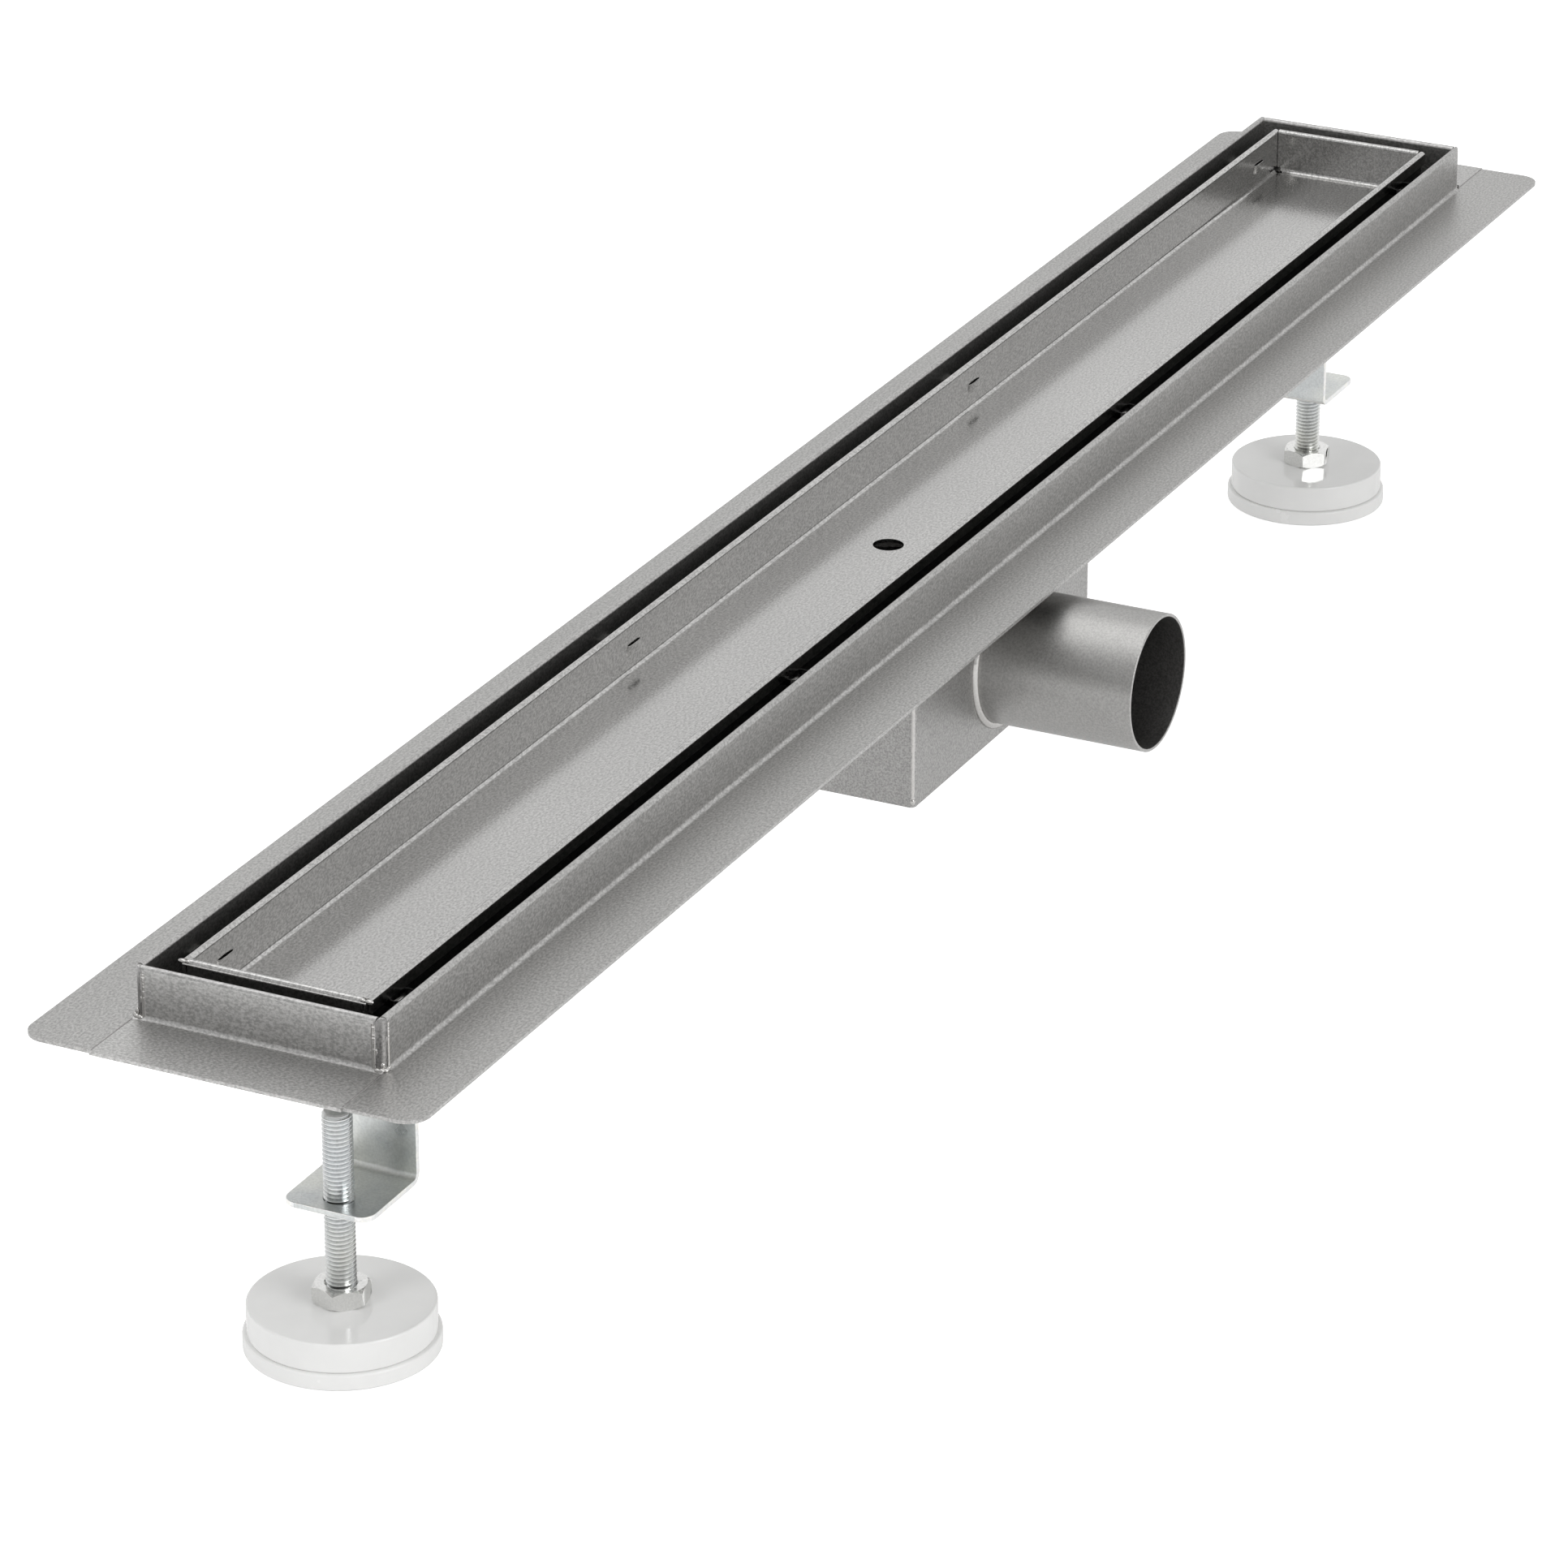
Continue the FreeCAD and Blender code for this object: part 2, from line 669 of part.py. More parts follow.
def pad(end):
    """Plastic cap of a foot: hollow from below, with a socket for the screw's end."""
    socket_bore = screw_radius + pad_screw_clearance
    socket_outer = socket_bore + pad_socket_wall
    inside = pad_radius - pad_wall
    ceiling = pad_top_height - pad_wall
    cap = turned([
        (socket_bore, pad_top_height), (pad_radius - pad_edge_radius, pad_top_height),
        (pad_radius - pad_edge_step, pad_top_height - pad_edge_step),
        (pad_radius, pad_top_height - pad_edge_radius), (pad_radius, pad_bottom_height),
        (inside, pad_bottom_height), (inside, ceiling), (socket_outer, ceiling),
        (socket_outer, pad_bottom_height), (0, pad_bottom_height),
        (0, screw_bottom_height), (socket_bore, screw_bottom_height),
    ])
    rib = box_between(
        (socket_outer - cut_margin, -pad_rib_width / 2, pad_bottom_height),
        (inside + cut_margin, pad_rib_width / 2, ceiling + cut_margin))
    for k in range(pad_rib_count):
        cap = cap.fuse(turned_about_z(rib, 360 / pad_rib_count * k))
    cap = single(cap)
    cap.translate(Vector(foot_station, 0, 0))
    return placed_at_end(cap, end)


def sole(end):
    """Lower ring of a foot, closed at the bottom, with a lip that stands inside the cap."""
    lip_radius = pad_radius - pad_wall - sole_lip_clearance
    lip_inside = lip_radius - sole_lip_wall
    lip_top = pad_bottom_height + sole_lip_height
    floor_top = ground_height + sole_floor
    boss_radius = screw_radius + pad_socket_wall
    foot = turned([
        (0, ground_height), (sole_radius - sole_edge_radius, ground_height),
        (sole_radius - sole_edge_step, ground_height + sole_edge_step),
        (sole_radius, ground_height + sole_edge_radius),
        (sole_radius, pad_bottom_height - sole_top_chamfer),
        (sole_radius - sole_top_chamfer, pad_bottom_height), (lip_radius, pad_bottom_height),
        (lip_radius, lip_top), (lip_inside, lip_top), (lip_inside, floor_top),
        (boss_radius, floor_top), (boss_radius, pad_bottom_height), (0, pad_bottom_height),
    ])
    slot = box_between(
        (lip_inside - cut_margin, -pad_rib_width, pad_bottom_height),
        (lip_radius + cut_margin, pad_rib_width, pad_top_height))
    for k in range(pad_rib_count):
        foot = foot.cut(turned_about_z(slot, 360 / pad_rib_count * k))
    foot = single(foot)
    foot.translate(Vector(foot_station, 0, 0))
    return placed_at_end(foot, end)


def build():
    nodes = {
        "channel_body": channel_body(),
        "end_plate_near": end_plate(-1),
        "end_plate_far": end_plate(1),
        "waste_box": waste_box(),
        "outlet_pipe": outlet_pipe(),
        "tile_tray": tile_tray(),
        "trap_seal": trap_seal(),
        "trap_dip_tube": trap_dip_tube(),
        "trap_cup": trap_cup(),
        "hair_strainer": hair_strainer(),
    }
    stations = (
        -tray_foot_outer_station, -tray_foot_inner_station,
        tray_foot_inner_station, tray_foot_outer_station)
    for number, station in enumerate(stations, start=1):
        nodes[f"tray_foot_{number}"] = tray_foot(station)
    for name, end in (("near", -1), ("far", 1)):
        nodes[f"bracket_{name}"] = bracket(end)
        nodes[f"weld_stud_{name}"] = weld_stud(end)
        nodes[f"stud_nut_{name}"] = stud_nut(end)
        nodes[f"screw_{name}"] = screw(end)
        nodes[f"hex_{name}"] = hex_nut(end)
        nodes[f"pad_{name}"] = pad(end)
        nodes[f"sole_{name}"] = sole(end)
    return nodes


os.makedirs("parts", exist_ok=True)
for node, shape in build().items():
    shape.exportStep(f"parts/{node}.step")
    print(node, "solids", len(shape.Solids), "valid", shape.isValid(), "volume", round(shape.Volume, 1))
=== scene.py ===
import math
import random

import bpy
from mathutils import Matrix, Vector


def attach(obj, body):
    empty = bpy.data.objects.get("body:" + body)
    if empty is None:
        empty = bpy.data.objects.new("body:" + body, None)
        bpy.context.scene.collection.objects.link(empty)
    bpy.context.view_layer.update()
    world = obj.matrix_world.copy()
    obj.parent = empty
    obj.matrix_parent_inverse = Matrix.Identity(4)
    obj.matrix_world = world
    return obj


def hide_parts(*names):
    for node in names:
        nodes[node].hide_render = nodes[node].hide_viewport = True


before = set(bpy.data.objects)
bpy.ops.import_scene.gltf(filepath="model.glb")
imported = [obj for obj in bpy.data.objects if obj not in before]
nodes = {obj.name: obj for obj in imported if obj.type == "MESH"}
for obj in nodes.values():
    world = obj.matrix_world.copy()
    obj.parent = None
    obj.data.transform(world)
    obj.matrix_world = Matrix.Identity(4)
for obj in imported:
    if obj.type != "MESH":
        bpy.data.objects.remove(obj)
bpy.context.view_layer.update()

MM = 0.001
FULL_TURN = 2 * math.pi
ENDS = {"near": -1, "far": 1}
SIDES = {"right": -1, "left": 1}

# Sizes of the drain that the added pieces need, in metres. X runs along the channel to its far
# end, -Y is the outlet's side, and the flange's top face is at Z = 0.
SHEET = 0.0012
FLANGE_HALF_LENGTH = 0.478
UPSTAND_HALF_LENGTH = 0.452
UPSTAND_HALF_WIDTH = 0.044
UPSTAND_HEIGHT = 0.0177
UPSTAND_CORNER = 0.0036
TRAY_HALF_LENGTH = 0.4414
TRAY_HALF_WIDTH = 0.0334
TRAY_HEIGHT = 0.0174
TRAY_RIM = 0.0028
TRAY_WALL_OUTSIDE = TRAY_HALF_WIDTH - 0.0027
TRAY_LIP_BELOW = TRAY_HEIGHT - 0.0055
TAB_HEIGHT = 0.008
TAB_STATIONS = {"outer": TRAY_HALF_LENGTH - 0.023, "inner": 0.140}
BOX_HALF_LENGTH = 0.0755
BOX_HALF_WIDTH = 0.046
BOX_BOTTOM = -0.064
OUTLET_HEIGHT = -0.0337
OUTLET_RADIUS = 0.025
OUTLET_MOUTH = -0.106
BRACKET_LEG_TOP = -0.0743
FOOT_STATION = 0.405
ROD_RADIUS = 0.005
ROD_BOTTOM = -0.1188
ROD_TOP = -0.0435
THREAD_PITCH = 0.0015
THREAD_DEPTH = 0.61 * THREAD_PITCH
NUT_FLATS = 0.017
NUT_HEIGHT = 0.0064
NUT_BORE = 0.00505
NUT_TURN = math.radians(12)
PAD_TOP = -0.1108
PAD_BOTTOM = -0.1212
PAD_RADIUS = 0.0306
PAD_WALL = 0.0026
SOCKET_RADIUS = 0.0051
SOCKET_OUTSIDE = 0.0091
SOLE_RADIUS = 0.032
SOLE_LIP_OUTSIDE = 0.0277
SOLE_LIP_INSIDE = 0.0262
SOLE_LIP_HEIGHT = 0.003
SOLE_FLOOR = 0.0022
SOLE_CORE = 0.009
GROUND = -0.1268
POCKET_HALF_LENGTH = 0.0053
POCKET_HALF_FLAT = 0.0036
POCKET_HEIGHT = 0.0034
POCKET_DEPTH = 0.0008
POCKET_SHEET = 0.00035


# Modelling helpers

def deselect_all():
    for thing in bpy.context.selected_objects:
        thing.select_set(False)


def pick(piece):
    """Makes the piece the active one and the only selected one."""
    deselect_all()
    piece.select_set(True)
    bpy.context.view_layer.objects.active = piece


def edit(piece, everything=True):
    pick(piece)
    bpy.ops.object.mode_set(mode="EDIT")
    if everything:
        bpy.ops.mesh.select_all(action="SELECT")


def leave_edit():
    bpy.ops.object.mode_set(mode="OBJECT")


def named(piece, name):
    piece.name = name
    piece.data.name = name
    return piece


def settle(piece):
    """Puts the piece's place into its mesh, with its object at the origin."""
    pick(piece)
    bpy.ops.object.transform_apply(location=True, rotation=True, scale=True)
    return piece


def smooth(piece, angle):
    """Shades the piece smooth, with sharp edges where faces turn more than the angle."""
    pick(piece)
    bpy.ops.object.shade_smooth_by_angle(angle=math.radians(angle))
    return piece


def close_up(piece):
    """Joins doubled points and turns every face outwards."""
    edit(piece)
    bpy.ops.mesh.remove_doubles(threshold=1e-6)
    bpy.ops.mesh.select_all(action="SELECT")
    bpy.ops.mesh.normals_make_consistent(inside=False)
    leave_edit()
    return piece


def use_modifier(piece, kind, **settings):
    """Adds a modifier with its settings and applies it."""
    pick(piece)
    modifier = piece.modifiers.new(kind.lower(), kind)
    for key, value in settings.items():
        setattr(modifier, key, value)
    bpy.ops.object.modifier_apply(modifier=modifier.name)
    return piece


def round_edges(piece, width, segments, angle):
    """Rounds edges sharper than the angle, and keeps the flat faces flat in shading."""
    use_modifier(piece, "BEVEL", width=width, segments=segments, limit_method="ANGLE",
                 angle_limit=math.radians(angle))
    smooth(piece, 40)
    return use_modifier(piece, "WEIGHTED_NORMAL", keep_sharp=True, weight=80)


def copied(piece, name):
    twin = piece.copy()
    twin.data = piece.data.copy()
    bpy.context.scene.collection.objects.link(twin)
    return named(twin, name)


def cut_with(piece, tool, how):
    """Combines the piece with a tool, which is used up."""
    use_modifier(piece, "BOOLEAN", operation=how, object=tool, solver="EXACT")
    bpy.data.objects.remove(tool)
    return piece


def profile_line(name, points):
    """A chain of edges through (radius, height) points, beside the Z axis."""
    deselect_all()
    bpy.ops.mesh.primitive_plane_add(size=MM)
    piece = named(bpy.context.object, name)
    edit(piece)
    bpy.ops.mesh.merge(type="CENTER")
    bpy.ops.transform.translate(value=(points[0][0], 0, points[0][1]))
    for a, b in zip(points, points[1:]):
        bpy.ops.mesh.extrude_vertices_move(
            TRANSFORM_OT_translate={"value": (b[0] - a[0], 0, b[1] - a[1])})
    leave_edit()
    return piece


def spun(name, points, steps):
    """Piece turned about the Z axis from (radius, height) points."""
    piece = profile_line(name, points)
    edit(piece)
    bpy.ops.mesh.spin(steps=steps, angle=FULL_TURN, center=(0, 0, 0), axis=(0, 0, 1))
    leave_edit()
    return close_up(piece)


# Shading helpers

def new_material(name):
    material = bpy.data.materials.new(name)
    material.use_nodes = True
    tree = material.node_tree
    return material, tree, tree.nodes["Principled BSDF"]


def computed(tree, operation, *values):
    """Result of a sum on numbers and on other nodes' results."""
    step = tree.nodes.new("ShaderNodeMath")
    step.operation = operation
    for socket, value in zip(step.inputs, values):
        if isinstance(value, float):
            socket.default_value = value
        else:
            tree.links.new(value, socket)
    return step.outputs[0]


def own_place(tree):
    """X, Y and Z in the drain's own frame, in metres."""
    place = tree.nodes.new("ShaderNodeTexCoord")
    apart = tree.nodes.new("ShaderNodeSeparateXYZ")
    tree.links.new(place.outputs["Object"], apart.inputs[0])
    return apart.outputs["X"], apart.outputs["Y"], apart.outputs["Z"]


def stretched_noise(tree, stretch, scale, detail, roughness):
    """Noise in the drain's own frame, drawn out by stretch along X, Y and Z."""
    place = tree.nodes.new("ShaderNodeTexCoord")
    mapping = tree.nodes.new("ShaderNodeMapping")
    mapping.inputs["Scale"].default_value = tuple(1 / s for s in stretch)
    tree.links.new(place.outputs["Object"], mapping.inputs["Vector"])
    noise = tree.nodes.new("ShaderNodeTexNoise")
    noise.inputs["Scale"].default_value = scale
    noise.inputs["Detail"].default_value = detail
    noise.inputs["Roughness"].default_value = roughness
    tree.links.new(mapping.outputs["Vector"], noise.inputs["Vector"])
    return noise.outputs["Fac"]


def ramp(tree, source, low, high, start=0.3, end=0.7):
    """Values or colours between low and high as source goes from start to end."""
    shades = tree.nodes.new("ShaderNodeValToRGB")
    for element, place, value in zip(shades.color_ramp.elements, (start, end), (low, high)):
        element.position = place
        element.color = (*value, 1.0) if isinstance(value, tuple) else (value, value, value, 1.0)
    tree.links.new(source, shades.inputs["Fac"])
    return shades.outputs["Color"]


def map_range(tree, source, from_range, to_range):
    """Straight-line change of source from one range to another, held at both ends."""
    node = tree.nodes.new("ShaderNodeMapRange")
    node.inputs["From Min"].default_value, node.inputs["From Max"].default_value = from_range
    node.inputs["To Min"].default_value, node.inputs["To Max"].default_value = to_range
    tree.links.new(source, node.inputs["Value"])
    return node.outputs["Result"]


def scaled(colour, share):
    return tuple(min(1.0, value * share) for value in colour)


def tinted(tree, first, second):
    """Product of two colours."""
    mix = tree.nodes.new("ShaderNodeMix")
    mix.data_type = "RGBA"
    mix.blend_type = "MULTIPLY"
    mix.inputs["Factor"].default_value = 1.0
    tree.links.new(first, mix.inputs["A"])
    tree.links.new(second, mix.inputs["B"])
    return mix.outputs["Result"]


def tint_finish(material, tint):
    """Multiplies a finished material's colour by a tint."""
    base = material.node_tree.nodes["Principled BSDF"].inputs["Base Color"]
    finish = base.links[0].from_socket
    material.node_tree.links.new(tinted(material.node_tree, finish, tint), base)


def bumped(tree, shader, height, strength):
    bump = tree.nodes.new("ShaderNodeBump")
    bump.inputs["Strength"].default_value = strength
    bump.inputs["Distance"].default_value = 0.02 * MM
    tree.links.new(height, bump.inputs["Height"])
    tree.links.new(bump.outputs["Normal"], shader.inputs["Normal"])


# Materials

ALONG_X = (1.6, 1.0, 1.0)
ALONG_Y = (1.0, 1.6, 1.0)
ANY_WAY = (1.0, 1.0, 1.0)
BLOTCH_STRETCH = (2.5, 1.0, 1.0)
BLOTCH_SHARE = 0.04
STEEL_GRAIN = {"scale": 1300.0, "detail": 1.5, "roughness": 0.7}
STEEL_BLOTCHES = {"scale": 22.0, "detail": 3.0, "roughness": 0.5}
ZINC_CRYSTALS = {"scale": 1100.0, "detail": 3.0, "roughness": 0.6}
MOULD_CLOUDS = {"scale": 90.0, "detail": 4.0, "roughness": 0.55}
MOULD_GRAIN = {"scale": 1500.0, "detail": 2.0, "roughness": 0.5}


def steel(name, tone, rough, grain_along, grain_share=0.36, grain_depth=0.08):
    """Stainless sheet: fine grain along the rolling direction over soft blotches."""
    material, tree, shader = new_material(name)
    shader.inputs["Metallic"].default_value = 1.0
    grain = stretched_noise(tree, grain_along, **STEEL_GRAIN)
    cloud = stretched_noise(tree, BLOTCH_STRETCH, **STEEL_BLOTCHES)
    colour = ramp(tree, cloud, scaled(tone, 1 - BLOTCH_SHARE), scaled(tone, 1 + BLOTCH_SHARE))
    fine = ramp(tree, grain, 1 - grain_share, 1.0, 0.36, 0.64)
    tree.links.new(tinted(tree, colour, fine), shader.inputs["Base Color"])
    tree.links.new(ramp(tree, grain, rough - 0.03, rough + 0.03), shader.inputs["Roughness"])
    bumped(tree, shader, grain, grain_depth)
    return material


def zinc(name, tone, rough, patch_share, patch_scale=45.0):
    """Bright zinc plate: soft bluish patches and a faint crystal grain over smooth steel."""
    material, tree, shader = new_material(name)
    shader.inputs["Metallic"].default_value = 1.0
    cloud = stretched_noise(tree, ANY_WAY, scale=patch_scale, detail=3.0, roughness=0.5)
    grain = stretched_noise(tree, ANY_WAY, **ZINC_CRYSTALS)
    warm = (tone[0] * 1.03, tone[1] * 1.01, tone[2] * 0.96)
    colour = ramp(tree, cloud, scaled(tone, 1 - patch_share), warm, 0.36, 0.64)
    sparkle = ramp(tree, grain, 0.86, 1.0, 0.35, 0.65)
    tree.links.new(tinted(tree, colour, sparkle), shader.inputs["Base Color"])
    tree.links.new(ramp(tree, cloud, rough - 0.05, rough + 0.05), shader.inputs["Roughness"])
    bumped(tree, shader, grain, 0.10)
    return material


def plastic(name, tone, rough, grain_depth=0.05):
    """Moulded plastic or rubber: even colour, with a faint grain in the mould."""
    material, tree, shader = new_material(name)
    cloud = stretched_noise(tree, ANY_WAY, **MOULD_CLOUDS)
    fine = stretched_noise(tree, ANY_WAY, **MOULD_GRAIN)
    tree.links.new(ramp(tree, cloud, scaled(tone, 0.97), tone), shader.inputs["Base Color"])
    tree.links.new(ramp(tree, cloud, rough - 0.02, rough + 0.03), shader.inputs["Roughness"])
    bumped(tree, shader, fine, grain_depth)
    return material


channel_steel = steel("channel_steel", (0.52, 0.515, 0.505), 0.38, ALONG_X)
end_steel = steel("end_plate_steel", (0.585, 0.58, 0.57), 0.40, ALONG_Y, grain_depth=0.06)
tray_steel = steel("tray_steel", (0.585, 0.58, 0.57), 0.17, ALONG_X, grain_depth=0.05)
box_steel = steel("box_steel", (0.45, 0.445, 0.437), 0.42, ANY_WAY)
pipe_steel = steel("pipe_steel", (0.46, 0.455, 0.445), 0.40, ANY_WAY, grain_share=0.22,
                   grain_depth=0.05)
# Painted shade: dark steel for the inner face of the outlet tube's bore, where shade falls
bore_shade_steel = steel("bore_shade_steel", (0.20, 0.195, 0.19), 0.50, ANY_WAY)
weld_steel = steel("weld_steel", (0.56, 0.55, 0.535), 0.20, ANY_WAY, grain_share=0.10,
                   grain_depth=0.05)
# Painted shade: darker steel that stands for the dark reflection on the near upstand corners
corner_shade_steel = steel("corner_shade_steel", (0.34, 0.335, 0.33), 0.30, ANY_WAY)
seam_steel = steel("seam_steel", (0.36, 0.35, 0.345), 0.45, ANY_WAY)
nut_nickel = steel("nut_nickel", (0.82, 0.82, 0.806), 0.15, ANY_WAY, grain_share=0.10,
                   grain_depth=0.05)
zinc_plate = zinc("zinc_plate", (0.80, 0.83, 0.835), 0.30, patch_share=0.22)
# Cut edges: bare metal, painted lighter than the plate for the glint along them
cut_edge_glint_zinc = zinc("cut_edge_glint_zinc", (0.95, 0.955, 0.96), 0.34, patch_share=0.06,
                    patch_scale=400.0)
rod_zinc = zinc("rod_zinc", (0.84, 0.86, 0.87), 0.22, patch_share=0.08)
pad_white = plastic("pad_white", (0.87, 0.87, 0.86), 0.07, grain_depth=0.03)
sole_white = plastic("sole_white", (0.88, 0.88, 0.87), 0.25)
trap_black = plastic("trap_black", (0.03, 0.03, 0.032), 0.35)
seal_black = plastic("seal_black", (0.02, 0.02, 0.02), 0.6, grain_depth=0.3)


def shade_outside_tray():
    """Paints shade on the tray's tabs and outer wall faces below the rim, which face the dark gap
    beside the channel.
    """
    tree = tray_steel.node_tree
    _, y, z = own_place(tree)
    outside = computed(tree, "GREATER_THAN", computed(tree, "ABSOLUTE", y), TRAY_WALL_OUTSIDE)
    below = computed(tree, "LESS_THAN", z, TRAY_LIP_BELOW)
    both = computed(tree, "MULTIPLY", outside, below)
    tint_finish(tray_steel, ramp(tree, both, 1.0, 0.30, 0.0, 1.0))


def shade_thread_roots():
    """Paints shade into the rods' plating, darker towards the roots of their threads."""
    tree = rod_zinc.node_tree
    x, y, _ = own_place(tree)
    flat = tree.nodes.new("ShaderNodeCombineXYZ")
    off_axis = computed(tree, "SUBTRACT", computed(tree, "ABSOLUTE", x), FOOT_STATION)
    tree.links.new(off_axis, flat.inputs["X"])
    tree.links.new(y, flat.inputs["Y"])
    radius = tree.nodes.new("ShaderNodeVectorMath")
    radius.operation = "LENGTH"
    tree.links.new(flat.outputs[0], radius.inputs[0])
    depths = (ROD_RADIUS - 0.9 * MM, ROD_RADIUS - 0.2 * MM)
    tint_finish(rod_zinc, map_range(tree, radius.outputs["Value"], depths, (0.74, 1.0)))


shade_thread_roots()
shade_outside_tray()

# Finish of each solid, by the start of its name
FINISH = {
    "channel_body": channel_steel, "end_plate": end_steel, "tile_tray": tray_steel,
    "waste_box": box_steel, "outlet_pipe": pipe_steel, "tray_foot": tray_steel,
    "hair_strainer": tray_steel, "bracket": zinc_plate, "stud_nut": zinc_plate,
    "weld_stud": channel_steel, "screw": rod_zinc, "hex": nut_nickel, "pad": pad_white,
    "sole": sole_white, "trap_seal": seal_black, "trap_dip_tube": trap_black,
    "trap_cup": trap_black,
}


def wear(piece, material):
    piece.data.materials.clear()
    piece.data.materials.append(material)
    return piece


for node_name, node_object in nodes.items():
    finish = next(m for start, m in FINISH.items() if node_name.startswith(start))
    for slot in node_object.material_slots:
        slot.material = finish


# Feet: rod, nut, cap and sole are made once, upright on the Z axis, and copied to both ends

def threaded_rod():
    """Rod with a helical thread, with chamfered ends."""
    root = ROD_RADIUS - THREAD_DEPTH
    crest_half = THREAD_PITCH / 12
    middle = THREAD_PITCH / 2
    turns = math.ceil((ROD_TOP - ROD_BOTTOM) / THREAD_PITCH) + 3
    start = ROD_BOTTOM - 1.5 * THREAD_PITCH
    rod = profile_line("rod", [
        (root, start), (root, start + crest_half), (ROD_RADIUS, start + middle - crest_half),
        (ROD_RADIUS, start + middle + crest_half), (root, start + THREAD_PITCH - crest_half),
        (root, start + THREAD_PITCH)])
    use_modifier(rod, "SCREW", axis="Z", angle=FULL_TURN, screw_offset=THREAD_PITCH,
                 iterations=turns, steps=36, render_steps=36, use_merge_vertices=True,
                 merge_threshold=1e-6)
    for height, up in ((ROD_BOTTOM - 0.2 * MM, -1), (ROD_TOP + 0.2 * MM, 1)):
        edit(rod)
        bpy.ops.mesh.bisect(plane_co=(0, 0, height), plane_no=(0, 0, up), use_fill=True,
                            clear_outer=True)
        leave_edit()
    close_up(rod)
    low_chamfer, high_chamfer = 0.7 * MM, 0.9 * MM
    blank = spun("blank", [
        (0, ROD_BOTTOM), (ROD_RADIUS - low_chamfer, ROD_BOTTOM),
        (ROD_RADIUS, ROD_BOTTOM + low_chamfer), (ROD_RADIUS, ROD_TOP - high_chamfer),
        (ROD_RADIUS - high_chamfer, ROD_TOP), (0, ROD_TOP)], steps=72)
    return smooth(cut_with(rod, blank, "INTERSECT"), 35)


def hexagon_nut():
    """Nut whose corners are turned off to a cone, with a countersunk bore."""
    corner = NUT_FLATS / math.sqrt(3)
    low, high = PAD_TOP, PAD_TOP + NUT_HEIGHT
    deselect_all()
    bpy.ops.mesh.primitive_cylinder_add(
        vertices=6, radius=corner, depth=NUT_HEIGHT, location=(0, 0, (low + high) / 2),
        rotation=(0, 0, NUT_TURN + FULL_TURN / 12))
    nut = settle(named(bpy.context.object, "nut"))
    fall = (corner - NUT_FLATS / 2) * 0.75
    blank = spun("blank", [
        (0, low), (NUT_FLATS / 2, low), (corner, low + fall), (corner, high - fall),
        (NUT_FLATS / 2, high), (0, high)], steps=120)
    cut_with(nut, blank, "INTERSECT")
    mouth = NUT_BORE + 0.75 * MM
    drill = spun("drill", [
        (0, low - MM), (NUT_BORE, low - MM), (NUT_BORE, high - 0.55 * MM),
        (mouth, high + 0.2 * MM), (mouth, high + MM), (0, high + MM)], steps=72)
    cut_with(nut, drill, "DIFFERENCE")
    return round_edges(nut, 0.14 * MM, segments=2, angle=25)


def foot_cap():
    """Glossy round cap: a rounded edge, hollow below, with a socket for the screw's end."""
    hollow, ceiling = PAD_RADIUS - PAD_WALL, PAD_TOP - PAD_WALL
    cap = spun("cap", [
        (SOCKET_RADIUS, PAD_TOP), (PAD_RADIUS, PAD_TOP), (PAD_RADIUS, PAD_BOTTOM),
        (hollow, PAD_BOTTOM), (hollow, ceiling), (SOCKET_OUTSIDE, ceiling),
        (SOCKET_OUTSIDE, PAD_BOTTOM), (0, PAD_BOTTOM), (0, ROD_BOTTOM),
        (SOCKET_RADIUS, ROD_BOTTOM), (SOCKET_RADIUS, PAD_TOP)], steps=128)
    return round_edges(cap, 0.7 * MM, segments=4, angle=50)


def foot_sole():
    """Round sole: a lip that stands up inside the cap, and a core under the socket."""
    lip_top, floor_top = PAD_BOTTOM + SOLE_LIP_HEIGHT, GROUND + SOLE_FLOOR
    sole = spun("sole", [
        (0, GROUND), (SOLE_RADIUS, GROUND), (SOLE_RADIUS, PAD_BOTTOM),
        (SOLE_LIP_OUTSIDE, PAD_BOTTOM), (SOLE_LIP_OUTSIDE, lip_top), (SOLE_LIP_INSIDE, lip_top),
        (SOLE_LIP_INSIDE, floor_top), (SOLE_CORE, floor_top), (SOLE_CORE, PAD_BOTTOM),
        (0, PAD_BOTTOM)], steps=128)
    return round_edges(sole, 0.8 * MM, segments=4, angle=50)


# Pattern, name, body, node that it replaces, slot, material
FOOT_PIECES = (
    (threaded_rod(), "threaded_rod", "screw", "screw", "zinc_plate", rod_zinc),
    (hexagon_nut(), "hex_nut", "screw", "hex", "nickel_plate", nut_nickel),
    (foot_cap(), "foot_cap", "foot", "pad", "pad_plastic", pad_white),
    (foot_sole(), "foot_sole", "foot", "sole", "sole_plastic", sole_white),
)
for end, x_sign in ENDS.items():
    for pattern, label, body, node, slot, material in FOOT_PIECES:
        piece = copied(pattern, f"{label}_{end}")
        if end == "near":
            piece.rotation_euler = (0, 0, math.pi)
        piece.location = (x_sign * FOOT_STATION, 0, 0)
        settle(piece)
        wear(piece, material)
        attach(piece, f"{end}_{body}")
        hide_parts(f"{node}_{end}")
for pattern, *_ in FOOT_PIECES:
    bpy.data.objects.remove(pattern)


# Outlet

def outlet_tube():
    bore = OUTLET_RADIUS - SHEET
    root = BOX_HALF_WIDTH - SHEET
    mouth = -OUTLET_MOUTH
    tube = spun("outlet_tube", [
        (bore, root), (OUTLET_RADIUS, root), (OUTLET_RADIUS, mouth), (bore, mouth),
        (bore, root)], steps=144)
    round_edges(tube, 0.3 * MM, segments=3, angle=50)
    tube.rotation_euler = (math.pi / 2, 0, 0)
    tube.location = (0, 0, OUTLET_HEIGHT)
    return settle(tube)


